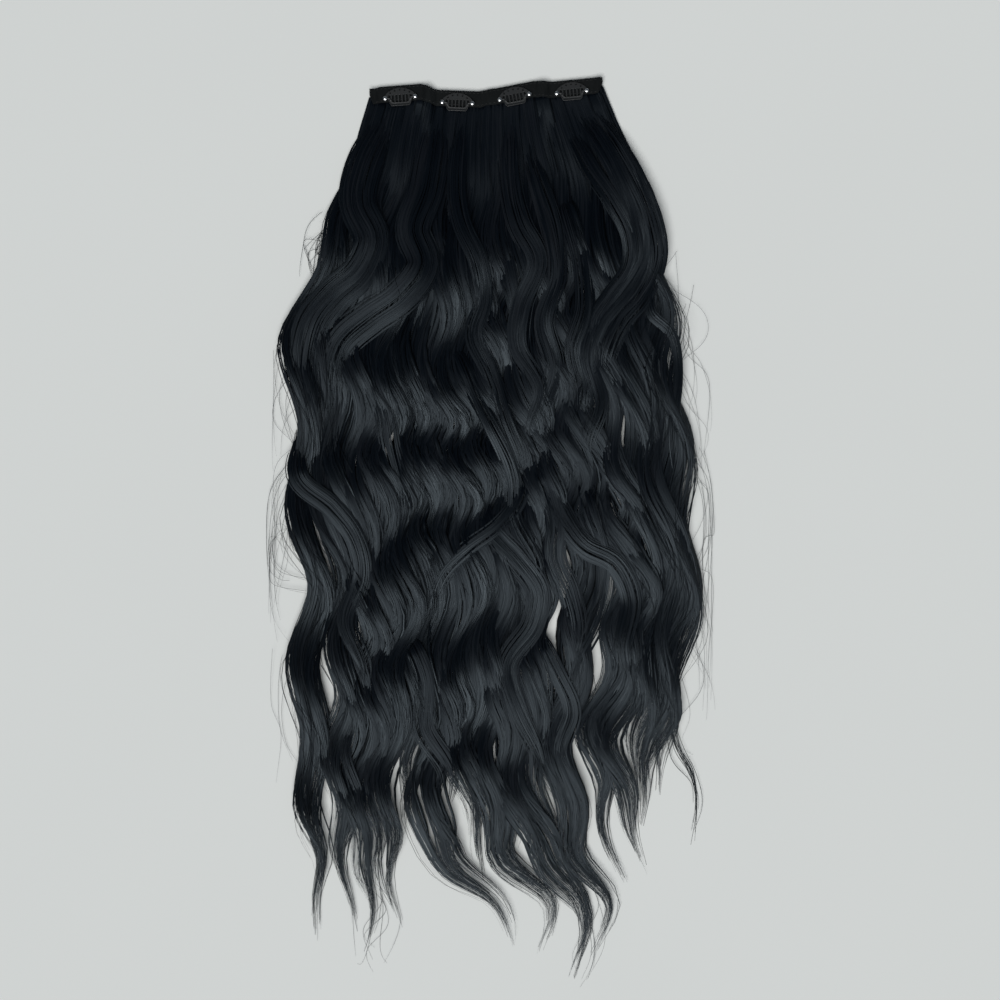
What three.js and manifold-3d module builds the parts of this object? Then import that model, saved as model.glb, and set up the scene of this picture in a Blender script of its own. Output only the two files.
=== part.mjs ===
// Clip-in hair extension: one long wavy weft, lying flat with its four snap clips up.
// Millimetres. +X runs along the weft, +Y from the hair's tips to the weft, +Z up.
// The origin is on the surface below, under the middle of the weft's sewn head.
import * as THREE from "three";
import { mergeVertices } from "three/addons/utils/BufferGeometryUtils.js";
import Module from "manifold-3d";

const wasm = await Module();
wasm.setup();

// Sewn weft: the hair's stitched head and the ribbon sewn on it.
const weftWidth = 184;
const headHeight = 8;
const headThickness = 3;
const tapeHeight = 13;
const tapeThickness = 1.1;
const tapeTopMargin = 1; // the ribbon stands this far above the head
const tapeCornerLength = 3.2; // the ribbon's folded corners reach this far past the head
const tapeCornerHeight = 5;
const rippleHeight = 3;
const rippleSteps = 4;

// Hair.
const hairLength = 730; // from the weft to the longest tip
const fanWidth = 336; // widest spread of the hair
const lockWidth = 29;
const lockThickness = 9;
const rootWidth = 14; // of each lock inside the head
const rootThickness = 1.4;
const tipWidth = 5;
const tipThickness = 1.8;
const waveLength = 93;
const waveStart = 125; // from the weft to the first crest
const waveSway = 6;
const waveLift = 5.5;
const waveLag = 0.5; // turns from the left edge of the hair to the right one
const lockSteps = 20;
const lockSides = 6;
// Where a lock changes, in shares of hairLength below the weft.
const leavesHead = { from: 0.01, to: 0.08 };
const widens = { from: 0.01, to: 0.24 };
const thickens = { from: 0.03, to: 0.28 };
const tapersFrom = 0.8; // share of the lock's own length
const tipLift = 0.4; // share of waveLift that is left at the tip

// Snap clip: a stamped comb that is sewn on, and a bow that snaps shut on its teeth.
const clipEndMargin = 7.5; // from the end of the weft to the first clip's ear
const clipFlatMargin = 1.2; // the weft lies flat this far past each clip
const rivetDrop = 10.3; // from the ribbon's top edge to the rivets
const rivetSpacing = 24.6;
const rivetHeadRadius = 1.7;
const rivetHeadHeight = 0.8;
const rivetShankRadius = 0.6;
const rivetTailRadius = 1.3;
const rivetTailThickness = 0.3;
const rivetSides = 12;
const domeSteps = 3;
const earRadius = 2.1;
const earOuterAngle = 60; // degrees, where the arch leaves the right ear
const earInnerAngle = 210; // degrees, where the inner edge leaves it
const combThickness = 0.6;
const combArch = 8.3; // from the rivets to the top of the comb's spine
const combInnerEdge = 2.6; // from the rivets to the roots of the teeth
const combShoulder = 9.2; // half width of the comb's inner edge
const toothCount = 6;
const toothPitch = 2.9;
const toothWidth = 1.4;
const toothPointWidth = 0.9; // where the point starts
const toothReach = 5.3; // from the rivets to the points of the teeth
const sewingHoleCount = 5;
const sewingHoleRadius = 0.7;
const sewingHoleMargin = 1.7; // from the spine's outer edge to a hole's middle
const sewingHoleSpread = 62; // degrees, from the first hole to the last round the arch
const bowThickness = 0.6;
const bowDrop = 6.5; // from the rivets to the bow's lower edge
const bowStrip = 2.9; // height of the bow's lower strip
const bowTopHalf = 10; // half width of the bow at the rivets
const bowBottomHalf = 8.2; // half width of its lower edge
const bowArm = 2.2; // width of its arms at the rivets
const bowFoot = 1.5; // width of its arms at the strip
const bowShoulder = 0.5; // the arms reach this far past the rivets' line
const bowCorner = 1.2;
const bowPinRadius = 0.42;
const bowPinSides = 8;

const seatGap = 0.3; // left between two pieces that touch
const weldDistance = 0.02; // edges shorter than this close up where solids are joined
const roundSteps = 4; // half the sides of a small hole

// The clips in order along the weft. rise: of the weft's top edge, in shares of tapeHeight.
// turn: of the clip on the surface, in degrees. ripple: after the clip, in shares of rippleHeight.
const clips = [
  { rise: 0.25, turn: 4.4, ripple: 1 },
  { rise: -0.08, turn: -2.3, ripple: 0 },
  { rise: 0.29, turn: 11, ripple: 0.85 },
  { rise: 0.6, turn: 5.5, ripple: 0 },
];
// The two ends of the weft, in the same shares.
const weftEnds = {
  left: { rise: 0.03, lift: 0.3 },
  right: { rise: 0.76, lift: 0.45 },
};

// Heights below the weft at which the table of locks gives their places, in shares of hairLength.
const lockLevels = {
  shoulder: 0.13,
  upper: 0.28,
  middle: 0.43,
  lower: 0.575,
  hem: 0.725,
  ends: 0.85,
  fall: 0.91,
};
// The hair's main locks from left to right. root: where it leaves the weft, in shares of weftWidth
// from its middle. shoulder to fall, and tip: its place at each level, in shares of fanWidth from
// the middle. reach: of the tip, in shares of hairLength. wide: in shares of lockWidth.
const locks = [
  { root: -0.465, shoulder: -0.335, upper: -0.435, middle: -0.44, lower: -0.415, hem: -0.428,
    ends: -0.403, fall: -0.412, tip: -0.413, reach: 0.953, wide: 0.75 },
  { root: -0.4, shoulder: -0.29, upper: -0.38, middle: -0.385, lower: -0.335, hem: -0.35,
    ends: -0.351, tip: -0.312, reach: 0.945, wide: 0.85 },
  { root: -0.335, shoulder: -0.245, upper: -0.325, middle: -0.315, lower: -0.27, hem: -0.295,
    ends: -0.299, fall: -0.263, tip: -0.297, reach: 0.967, wide: 0.95 },
  { root: -0.27, shoulder: -0.2, upper: -0.265, middle: -0.25, lower: -0.21, hem: -0.235,
    ends: -0.25, tip: -0.204, reach: 0.942, wide: 1 },
  { root: -0.205, shoulder: -0.155, upper: -0.205, middle: -0.18, lower: -0.15, hem: -0.175,
    tip: -0.201, reach: 0.835, wide: 1 },
  { root: -0.14, shoulder: -0.11, upper: -0.145, middle: -0.11, lower: -0.09, hem: -0.115,
    ends: -0.114, fall: 0.038, tip: 0.078, reach: 0.973, wide: 1 },
  { root: -0.075, shoulder: -0.065, upper: -0.085, middle: -0.045, lower: -0.03, hem: -0.055,
    tip: -0.003, reach: 0.897, wide: 0.95 },
  { root: -0.01, shoulder: -0.02, upper: -0.025, middle: 0.02, lower: 0.02, hem: 0,
    ends: 0.041, fall: 0.156, tip: 0.13, reach: 0.972, wide: 1 },
  { root: 0.055, shoulder: 0.03, upper: 0.035, middle: 0.09, lower: 0.07, hem: 0.06,
    ends: 0.13, fall: 0.244, tip: 0.209, reach: 1, wide: 1 },
  { root: 0.12, shoulder: 0.08, upper: 0.095, middle: 0.14, lower: 0.12, hem: 0.125,
    tip: 0.208, reach: 0.885, wide: 0.95 },
  { root: 0.18, shoulder: 0.135, upper: 0.155, middle: 0.205, lower: 0.235, hem: 0.185,
    ends: 0.224, fall: 0.305, tip: 0.25, reach: 0.978, wide: 0.85 },
  { root: 0.24, shoulder: 0.19, upper: 0.21, middle: 0.27, lower: 0.335, hem: 0.255,
    ends: 0.303, tip: 0.344, reach: 0.893, wide: 0.85 },
  { root: 0.3, shoulder: 0.24, upper: 0.265, middle: 0.33, lower: 0.385, hem: 0.31,
    tip: 0.392, reach: 0.882, wide: 0.9 },
  { root: 0.36, shoulder: 0.29, upper: 0.32, middle: 0.38, lower: 0.425, hem: 0.365,
    tip: 0.376, reach: 0.8, wide: 0.95 },
  { root: 0.415, shoulder: 0.335, upper: 0.37, middle: 0.42, lower: 0.455, hem: 0.41,
    tip: 0.376, reach: 0.83, wide: 0.85 },
  { root: 0.47, shoulder: 0.37, upper: 0.415, middle: 0.463, lower: 0.475, hem: 0.435,
    tip: 0.418, reach: 0.79, wide: 0.72 },
];

// Worked out from the sizes above.
const clipLength = rivetSpacing + 2 * earRadius;
const clipPitch = (weftWidth - 2 * clipEndMargin - clipLength) / (clips.length - 1);
const clipFlatHalf = clipLength / 2 + clipFlatMargin;
const headTop = headHeight / 2;
const tapeTopEdge = headTop + tapeTopMargin;
const tapeBottom = headThickness + seatGap;
const tapeTop = tapeBottom + tapeThickness;
const rivetTailBottom = tapeTop + seatGap;
const rivetTailTop = rivetTailBottom + rivetTailThickness;
const combBottom = rivetTailTop + seatGap;
const bowBottom = combBottom + combThickness + seatGap;
const bowTop = bowBottom + bowThickness;
const rivetHeadBottom = bowTop + seatGap;

const hairMaterial = new THREE.MeshStandardMaterial({ color: 0x15171b, roughness: 0.42, metalness: 0 });
const tapeMaterial = new THREE.MeshStandardMaterial({ color: 0x131719, roughness: 0.85, metalness: 0 });
const clipMaterial = new THREE.MeshStandardMaterial({ color: 0x16191b, roughness: 0.45, metalness: 0.6 });
const rivetMaterial = new THREE.MeshStandardMaterial({ color: 0xc9cbcd, roughness: 0.25, metalness: 1 });

const mix = THREE.MathUtils.lerp;
const ease = THREE.MathUtils.smoothstep;
const radians = THREE.MathUtils.degToRad;
const sides = [-1, 1];

function namedMesh(name, geometry, material) {
  const mesh = new THREE.Mesh(geometry, material);
  mesh.name = name;
  return mesh;
}

// A closed geometry through rings of points, all of one length, with flat ends.
function loftRings(rings) {
  const count = rings[0].length;
  const faces = [];
  for (let ring = 0; ring + 1 < rings.length; ring++) {
    for (let side = 0; side < count; side++) {
      const a = ring * count + side;
      const b = ring * count + ((side + 1) % count);
      faces.push(a, b, a + count, b, b + count, a + count);
    }
  }
  const last = (rings.length - 1) * count;
  for (let side = 1; side + 1 < count; side++) {
    faces.push(0, side + 1, side);
    faces.push(last, last + side, last + side + 1);
  }
  const geometry = new THREE.BufferGeometry().setFromPoints(rings.flat());
  geometry.setIndex(faces);
  return geometry;
}

// A closed three.js geometry as a solid that can be joined to others.
function solidOf(geometry) {
  const bare = geometry.clone();
  bare.deleteAttribute("normal");
  bare.deleteAttribute("uv");
  const merged = mergeVertices(bare);
  return new wasm.Manifold(
    new wasm.Mesh({
      numProp: 3,
      vertProperties: new Float32Array(merged.attributes.position.array),
      triVerts: new Uint32Array(merged.index.array),
      tolerance: weldDistance,
    }),
  );
}

// One geometry from several that overlap.
function joined(geometries) {
  const mesh = geometries.map(solidOf).reduce((whole, solid) => whole.add(solid)).getMesh();
  const geometry = new THREE.BufferGeometry();
  geometry.setAttribute("position", new THREE.BufferAttribute(mesh.vertProperties, 3));
  geometry.setIndex(new THREE.BufferAttribute(mesh.triVerts, 1));
  geometry.computeVertexNormals();
  return geometry;
}

function clipCentre(index) {
  return -weftWidth / 2 + clipEndMargin + clipLength / 2 + index * clipPitch;
}

// The weft between two clips, rippled.
function rippleStations(before, after, height) {
  const stations = [];
  for (let step = 1; step < rippleSteps; step++) {
    const t = step / rippleSteps;
    stations.push({
      x: mix(before.x, after.x, t),
      rise: mix(before.rise, after.rise, ease(t, 0, 1)),
      lift: height * Math.sin(Math.PI * t) ** 2,
    });
  }
  return stations;
}

// The weft's top edge as stations from left to right: flat under each clip, rippled between.
function weftStations() {
  const endStation = (x, end) => ({ x, rise: end.rise * tapeHeight, lift: end.lift * rippleHeight });
  const stations = [endStation(-weftWidth / 2, weftEnds.left)];
  clips.forEach((clip, index) => {
    const slope = Math.tan(radians(clip.turn)) * clipFlatHalf;
    const [start, end] = sides.map((side) => ({
      x: clipCentre(index) + side * clipFlatHalf,
      rise: clip.rise * tapeHeight + side * slope,
      lift: 0,
    }));
    if (index > 0) {
      const before = stations[stations.length - 1];
      stations.push(...rippleStations(before, start, clips[index - 1].ripple * rippleHeight));
    }
    stations.push(start, end);
  });
  stations.push(endStation(weftWidth / 2, weftEnds.right));
  return stations;
}

const stations = weftStations();

// The weft's top edge at any x, level past its two ends.
function weftAt(place) {
  const x = THREE.MathUtils.clamp(place, -weftWidth / 2, weftWidth / 2);
  const next = Math.max(1, stations.findIndex((station) => station.x >= x));
  const a = stations[next - 1];
  const b = stations[next];
  const t = (x - a.x) / (b.x - a.x);
  return { x, rise: mix(a.rise, b.rise, t), lift: mix(a.lift, b.lift, t) };
}

// One upright section of the weft at a station, between two heights.
function weftRing(station, top, bottom, low, high) {
  return [
    new THREE.Vector3(station.x, station.rise + top, station.lift + low),
    new THREE.Vector3(station.x, station.rise + top, station.lift + high),
    new THREE.Vector3(station.x, station.rise + bottom, station.lift + high),
    new THREE.Vector3(station.x, station.rise + bottom, station.lift + low),
  ];
}

function headGeometry() {
  const bottom = headTop - headHeight;
  return loftRings(stations.map((station) => weftRing(station, headTop, bottom, 0, headThickness)));
}

// The ribbon over the head, with its two folded corners standing out past the ends.
function tapeGeometry() {
  const ring = (station, bottom) => weftRing(station, tapeTopEdge, bottom, tapeBottom, tapeTop);
  const corner = (station, side) =>
    ring({ ...station, x: station.x + side * tapeCornerLength }, tapeTopEdge - tapeCornerHeight);
  return loftRings([
    corner(stations[0], -1),
    ...stations.map((station) => ring(station, tapeTopEdge - tapeHeight)),
    corner(stations[stations.length - 1], 1),
  ]);
}

// The line that a lock follows, without its waves.
function lockLine(lock) {
  const root = weftAt(lock.root * weftWidth);
  const points = [new THREE.Vector3(root.x, root.rise, 0)];
  for (const [level, depth] of Object.entries(lockLevels)) {
    if (lock[level] !== undefined) {
      points.push(new THREE.Vector3(lock[level] * fanWidth, headTop - depth * hairLength, 0));
    }
  }
  points.push(new THREE.Vector3(lock.tip * fanWidth, headTop - lock.reach * hairLength, 0));
  return { root, curve: new THREE.CatmullRomCurve3(points, false, "centripetal") };
}

// One lock: flattened sections along its line, growing from the head and tapering to its tip.
function lockGeometry(lock) {
  const { root, curve } = lockLine(lock);
  const rings = [];
  for (let step = 0; step <= lockSteps; step++) {
    const along = step / lockSteps;
    const onLine = curve.getPointAt(along);
    const depth = root.rise - onLine.y;
    const down = depth / hairLength;
    const inHead = 1 - ease(down, leavesHead.from, leavesHead.to);
    const wide = ease(down, widens.from, widens.to);
    const thick = ease(down, thickens.from, thickens.to);
    const taper = ease(along, tapersFrom, 1);
    const halfWidth = mix(mix(rootWidth, lock.wide * lockWidth, wide), tipWidth, taper) / 2;
    const halfThickness = mix(mix(rootThickness, lockThickness, thick), tipThickness, taper) / 2;
    const turn = 2 * Math.PI * ((depth - waveStart) / waveLength + lock.root * waveLag);
    const lift = waveLift * thick * mix(1, tipLift, taper) * (1 + Math.cos(turn)) * 0.5;
    const height = mix(halfThickness + lift, headThickness / 2, inHead);
    const sway = waveSway * wide * (1 - taper) * Math.sin(turn);
    const centre = new THREE.Vector3(onLine.x + sway, onLine.y, height);
    const tangent = curve.getTangentAt(along);
    const across = new THREE.Vector3(-tangent.y, tangent.x, 0).normalize();
    rings.push(lockRing(centre, across, halfWidth, halfThickness, inHead));
  }
  return loftRings(rings);
}

// A flattened section of a lock. In the head it follows the weft's ripples.
function lockRing(centre, across, halfWidth, halfThickness, inHead) {
  const ring = [];
  const tallest = Math.sin((2 * Math.PI * Math.round(lockSides / 4)) / lockSides);
  for (let side = 0; side < lockSides; side++) {
    const angle = (2 * Math.PI * side) / lockSides;
    const point = centre.clone().addScaledVector(across, Math.cos(angle) * halfWidth);
    point.z += (Math.sin(angle) / tallest) * halfThickness + weftAt(point.x).lift * inHead;
    ring.push(point);
  }
  return ring;
}

function hairGeometry() {
  return joined([headGeometry(), ...locks.map(lockGeometry)]);
}

function roundHole(x, y, radius) {
  const hole = new THREE.Path();
  hole.absarc(x, y, radius, 0, 2 * Math.PI, true);
  return hole;
}

// A flat outline stamped from sheet metal, standing on a height.
function stampedPlate(outline, thickness, height) {
  const options = { depth: thickness, bevelEnabled: false, curveSegments: roundSteps };
  return new THREE.ExtrudeGeometry(outline, options).translate(0, 0, height);
}

// The comb's plate: an arched spine between two ears, with its teeth pointing down.
function combGeometry() {
  const rivetX = rivetSpacing / 2;
  const outer = radians(earOuterAngle);
  const inner = radians(earInnerAngle);
  const archHalf = rivetX + earRadius * Math.cos(outer);
  const archFoot = earRadius * Math.sin(outer);
  const archRise = combArch - archFoot;
  const archRadius = (archHalf ** 2 + archRise ** 2) / (2 * archRise);
  const archMiddle = combArch - archRadius;
  const archStart = Math.atan2(archFoot - archMiddle, archHalf);

  const outline = new THREE.Shape();
  outline.moveTo(archHalf, archFoot);
  outline.absarc(0, archMiddle, archRadius, archStart, Math.PI - archStart, false);
  outline.absarc(-rivetX, 0, earRadius, Math.PI - outer, 3 * Math.PI - inner, false);
  outline.lineTo(-combShoulder, combInnerEdge);
  for (let tooth = 0; tooth < toothCount; tooth++) {
    const x = (tooth - (toothCount - 1) / 2) * toothPitch;
    const pointStart = toothPointWidth - toothReach;
    outline.lineTo(x - toothWidth / 2, combInnerEdge);
    outline.lineTo(x - toothPointWidth / 2, pointStart);
    outline.lineTo(x, -toothReach);
    outline.lineTo(x + toothPointWidth / 2, pointStart);
    outline.lineTo(x + toothWidth / 2, combInnerEdge);
  }
  outline.lineTo(combShoulder, combInnerEdge);
  outline.absarc(rivetX, 0, earRadius, inner, 2 * Math.PI + outer, false);

  const holeReach = archRadius - sewingHoleMargin;
  for (let hole = 0; hole < sewingHoleCount; hole++) {
    const angle = Math.PI / 2 + radians(sewingHoleSpread) * (hole / (sewingHoleCount - 1) - 0.5);
    const x = Math.cos(angle) * holeReach;
    const y = archMiddle + Math.sin(angle) * holeReach;
    outline.holes.push(roundHole(x, y, sewingHoleRadius));
  }
  for (const side of sides) {
    outline.holes.push(roundHole(side * rivetX, 0, rivetShankRadius + seatGap));
  }
  return stampedPlate(outline, combThickness, combBottom);
}

// Half of the bow's outline from its lower edge round to its inner edge, as x and y.
const bowHalf = [
  [bowBottomHalf - bowCorner, -bowDrop],
  [bowBottomHalf, bowCorner - bowDrop],
  [bowTopHalf, -bowShoulder],
  [bowTopHalf, bowShoulder],
  [bowTopHalf - bowArm, bowShoulder],
  [bowBottomHalf - bowFoot, bowStrip - bowDrop + bowCorner / 2],
  [bowBottomHalf - bowFoot - bowCorner, bowStrip - bowDrop],
];

// The bow: a stamped strip on two arms, with a pin at each end that turns under a rivet's head.
function bowGeometry() {
  const right = bowHalf.map(([x, y]) => new THREE.Vector2(x, y));
  const left = bowHalf.map(([x, y]) => new THREE.Vector2(-x, y)).reverse();
  const tray = stampedPlate(new THREE.Shape([...right, ...left]), bowThickness, bowBottom);
  const pinStart = bowTopHalf - bowArm / 2;
  const pinEnd = rivetSpacing / 2 - rivetShankRadius - seatGap;
  const pins = sides.map((side) => {
    const pin = new THREE.CylinderGeometry(bowPinRadius, bowPinRadius, pinEnd - pinStart, bowPinSides);
    pin.rotateZ(Math.PI / 2);
    return pin.translate((side * (pinStart + pinEnd)) / 2, 0, (bowBottom + bowTop) / 2);
  });
  return joined([tray, ...pins]);
}

// A rivet turned about its own axis: tail, shank and domed head.
function rivetGeometry() {
  const profile = [
    new THREE.Vector2(0, rivetTailBottom),
    new THREE.Vector2(rivetTailRadius, rivetTailBottom),
    new THREE.Vector2(rivetTailRadius, rivetTailTop),
    new THREE.Vector2(rivetShankRadius, rivetTailTop),
    new THREE.Vector2(rivetShankRadius, rivetHeadBottom),
  ];
  for (let step = 0; step < domeSteps; step++) {
    const angle = (Math.PI / 2) * (step / domeSteps);
    const height = rivetHeadBottom + rivetHeadHeight * Math.sin(angle);
    profile.push(new THREE.Vector2(rivetHeadRadius * Math.cos(angle), height));
  }
  profile.push(new THREE.Vector2(0, rivetHeadBottom + rivetHeadHeight));
  return new THREE.LatheGeometry(profile, rivetSides).rotateX(Math.PI / 2);
}

// One clip on its flat stretch of the weft, turned with the ribbon.
function clipGroup(clip, index) {
  const group = new THREE.Group();
  const name = `clip_${index + 1}`;
  group.position.set(clipCentre(index), clip.rise * tapeHeight + tapeTopEdge - rivetDrop, 0);
  group.rotation.z = radians(clip.turn);
  group.add(namedMesh(`${name}_comb`, combGeometry(), clipMaterial));
  group.add(namedMesh(`${name}_bow`, bowGeometry(), clipMaterial));
  for (const side of sides) {
    const word = side < 0 ? "left" : "right";
    const rivet = namedMesh(`${name}_rivet_${word}`, rivetGeometry(), rivetMaterial);
    rivet.position.x = (side * rivetSpacing) / 2;
    group.add(rivet);
  }
  return group;
}

const extension = new THREE.Group();
extension.add(namedMesh("hair", hairGeometry(), hairMaterial));
extension.add(namedMesh("weft_tape", tapeGeometry(), tapeMaterial));
extension.add(...clips.map(clipGroup));

export default extension;
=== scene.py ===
# Clip-in hair extension: the long wavy weft lying flat, clips up.
# Pieces are in metres in the frame of the CAD model: +X along the weft, +Y from the tips to it.
# Settings are in millimetres, shares and degrees where nothing else is said.
from math import cos, pi, radians, sin, tan
import bpy
import numpy as np
from mathutils import Matrix, Vector


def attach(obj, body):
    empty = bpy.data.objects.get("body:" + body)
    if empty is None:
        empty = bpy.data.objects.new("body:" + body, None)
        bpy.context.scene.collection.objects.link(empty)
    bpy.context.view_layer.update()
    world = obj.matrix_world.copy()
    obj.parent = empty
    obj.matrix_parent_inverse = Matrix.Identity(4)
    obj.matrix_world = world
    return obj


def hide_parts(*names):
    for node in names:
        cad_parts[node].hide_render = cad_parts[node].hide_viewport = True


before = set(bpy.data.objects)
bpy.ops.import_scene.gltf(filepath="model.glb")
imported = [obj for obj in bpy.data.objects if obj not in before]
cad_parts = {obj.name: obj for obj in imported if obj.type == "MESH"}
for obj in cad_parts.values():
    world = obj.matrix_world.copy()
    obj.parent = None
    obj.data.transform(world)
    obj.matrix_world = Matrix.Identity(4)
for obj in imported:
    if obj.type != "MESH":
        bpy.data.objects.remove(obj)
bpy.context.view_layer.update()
mm = 0.001


def toMode(mode):
    bpy.ops.object.mode_set(mode=mode)


def deselectAll():
    if bpy.context.object and bpy.context.object.mode != "OBJECT":
        toMode("OBJECT")
    bpy.ops.object.select_all(action="DESELECT")


def makeActive(piece):
    deselectAll()
    piece.select_set(True)
    bpy.context.view_layer.objects.active = piece


def addObject(name, data):
    made = bpy.data.objects.new(name, data)
    bpy.context.scene.collection.objects.link(made)
    return made


def pointsOf(mesh):
    # a mesh's points as rows of x, y and z
    flat = np.zeros(len(mesh.vertices) * 3)
    mesh.vertices.foreach_get("co", flat)
    return flat.reshape(-1, 3)


def breakEdges(piece, width, angle):
    # a narrow bevel on every edge sharper than the angle
    edge = piece.modifiers.new("soft edge", "BEVEL")
    edge.width = width * mm
    edge.segments = 2
    edge.limit_method = "ANGLE"
    edge.angle_limit = radians(angle)
    return edge


def breakAndSmooth(piece, width, angle, smoothAngle):
    # the same bevel applied to the active piece, then smooth shading
    bpy.ops.object.modifier_apply(modifier=breakEdges(piece, width, angle).name)
    bpy.ops.object.shade_smooth_by_angle(angle=radians(smoothAngle))


def ease(value, low, high):
    share = np.clip((np.asarray(value, float) - low) / (high - low), 0, 1)
    return share * share * (3 - 2 * share)


def blend(low, high, share):
    return low + (high - low) * share


print("finishes")


class Finish:
    # a material with its nodes at hand
    def __init__(self, name, roughness, metallic=0.0, ior=1.5):
        self.material = bpy.data.materials.new(name)
        self.material.use_nodes = True
        self.nodes = self.material.node_tree.nodes
        self.links = self.material.node_tree.links
        self.shader = self.nodes["Principled BSDF"]
        self.paint("Roughness", roughness)
        self.paint("Metallic", metallic)
        self.paint("IOR", ior)

    def feed(self, socket, value):
        # another node's output is joined to the socket, a plain value is set there
        if hasattr(value, "node"):
            self.links.new(value, socket)
        else:
            socket.default_value = value

    def paint(self, socket, value):
        self.feed(self.shader.inputs[socket], value)

    def add(self, kind, **values):
        # a node with its own settings and its sockets, each by name
        node = self.nodes.new(kind)
        for key, value in values.items():
            if hasattr(node, key):
                setattr(node, key, value)
            else:
                self.feed(node.inputs[key], value)
        return node

    def place(self, scale=(1, 1, 1), uv=None):
        # object coordinates, or a UV map, scaled
        if uv:
            coords = self.add("ShaderNodeUVMap", uv_map=uv).outputs["UV"]
        else:
            coords = self.add("ShaderNodeTexCoord").outputs["Object"]
        return self.add("ShaderNodeMapping", Vector=coords, Scale=scale).outputs["Vector"]

    def noise(self, vector, detail=2.0, roughness=0.5, scale=1.0):
        node = self.add("ShaderNodeTexNoise", Vector=vector, Scale=scale, Detail=detail, Roughness=roughness)
        return node.outputs["Fac"]

    def bands(self, vector, direction, scale=1.0):
        node = self.add("ShaderNodeTexWave", wave_type="BANDS", bands_direction=direction, Scale=scale)
        self.feed(node.inputs["Vector"], vector)
        return node.outputs["Fac"]

    def ramp(self, fac, stops):
        # stops of a colour or a grey value each
        node = self.add("ShaderNodeValToRGB", Fac=fac)
        ramp = node.color_ramp
        while len(ramp.elements) < len(stops):
            ramp.elements.new(0.5)
        for element, (position, color) in zip(ramp.elements, stops):
            element.position = position
            element.color = (*color, 1) if hasattr(color, "__len__") else (color, color, color, 1)
        return node.outputs["Color"]

    def math(self, operation, a, b):
        node = self.add("ShaderNodeMath", operation=operation)
        self.feed(node.inputs[0], a)
        self.feed(node.inputs[1], b)
        return node.outputs["Value"]

    def mixed(self, a, b, share):
        # the first value and a share of the second
        return self.math("ADD", self.math("MULTIPLY", a, 1 - share), self.math("MULTIPLY", b, share))

    def bump(self, height, strength, distance):
        node = self.add("ShaderNodeBump", Height=height, Strength=strength, Distance=distance)
        self.paint("Normal", node.outputs["Normal"])


def hairFinish():
    # gloss that spreads round each strand, with fine fibres along it
    finish = Finish("wavy black hair", 0.42, ior=1.6)
    tint = finish.add("ShaderNodeAttribute", attribute_name="tint").outputs["Fac"]
    streak = finish.noise(finish.place((7, 5, 1), uv="strandMap"), roughness=0.6)
    fibre = finish.noise(finish.place((34, 3, 1), uv="strandMap"), roughness=0.6)
    grain = finish.mixed(streak, fibre, 0.5)
    tone = finish.mixed(tint, grain, 0.3)
    finish.paint("Base Color", finish.ramp(tone, [(0.15, (0.0006, 0.0013, 0.0026)),
                                                  (0.5, (0.0018, 0.0029, 0.005)),
                                                  (0.85, (0.006, 0.0072, 0.01))]))
    finish.paint("Roughness", finish.ramp(finish.mixed(tint, grain, 0.55), [(0.22, 0.31), (0.76, 0.62)]))
    finish.paint("Specular IOR Level", 0.3)
    finish.paint("Anisotropic", 0.85)
    finish.paint("Specular Tint", (0.74, 0.89, 1.0, 1))
    strandWay = finish.add("ShaderNodeTangent", direction_type="UV_MAP", uv_map="strandMap")
    finish.paint("Tangent", strandWay.outputs["Tangent"])
    finish.bump(grain, 0.35, 0.0003)
    return finish.material


def ribbonFinish():
    # fine ribs across the ribbon, and a slightly greenish black
    finish = Finish("ribbed black ribbon", 0.75)
    finish.paint("Specular IOR Level", 0.16)
    rib = finish.bands(finish.place((92, 1, 1), uv="ribbonMap"), "X")
    cross = finish.bands(finish.place((1, 7, 1), uv="ribbonMap"), "Y")
    weave = finish.math("MULTIPLY", rib, cross)
    wear = finish.noise(finish.place((60, 60, 60)), detail=4)
    tone = finish.mixed(weave, wear, 0.65)
    finish.paint("Base Color", finish.ramp(tone, [(0.2, (0.0018, 0.0026, 0.0032)),
                                                  (0.8, (0.007, 0.0092, 0.0098))]))
    finish.bump(weave, 0.6, 0.0002)
    return finish.material


def threadFinish():
    # twisted plies
    finish = Finish("black sewing thread", 0.6)
    twist = finish.bands(finish.place(), "DIAGONAL", scale=900.0)
    finish.paint("Base Color", finish.ramp(twist, [(0.1, (0.006, 0.0066, 0.0075)),
                                                   (0.9, (0.02, 0.021, 0.023))]))
    finish.bump(twist, 0.5, 0.0001)
    return finish.material


def clipFinish():
    # satin black coating on spring steel, rubbed a little in soft patches
    finish = Finish("satin black coated steel", 0.4, metallic=0.35)
    cloud = finish.noise(finish.place((220, 220, 220)), detail=4, roughness=0.6)
    speck = finish.noise(finish.place((1500, 1500, 1500)))
    finish.paint("Base Color", finish.ramp(cloud, [(0.3, (0.008, 0.0095, 0.0105)),
                                                   (0.62, (0.016, 0.018, 0.0195)),
                                                   (0.8, (0.035, 0.037, 0.039))]))
    finish.paint("Roughness", finish.ramp(cloud, [(0.3, 0.46), (0.75, 0.3)]))
    finish.bump(speck, 0.25, 0.00005)
    return finish.material


def rivetFinish():
    # bright metal with fine scratches
    finish = Finish("bright steel rivet", 0.2, metallic=1.0)
    scratch = finish.noise(finish.place((900, 2600, 900)), detail=3)
    finish.paint("Base Color", finish.ramp(scratch, [(0.3, (0.62, 0.63, 0.64)), (0.7, (0.8, 0.81, 0.82))]))
    finish.paint("Roughness", finish.ramp(scratch, [(0.3, 0.16), (0.75, 0.34)]))
    finish.bump(scratch, 0.15, 0.00003)
    return finish.material


hairPaint = hairFinish()
ribbonPaint = ribbonFinish()
threadPaint = threadFinish()
clipPaint = clipFinish()
rivetPaint = rivetFinish()


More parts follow.
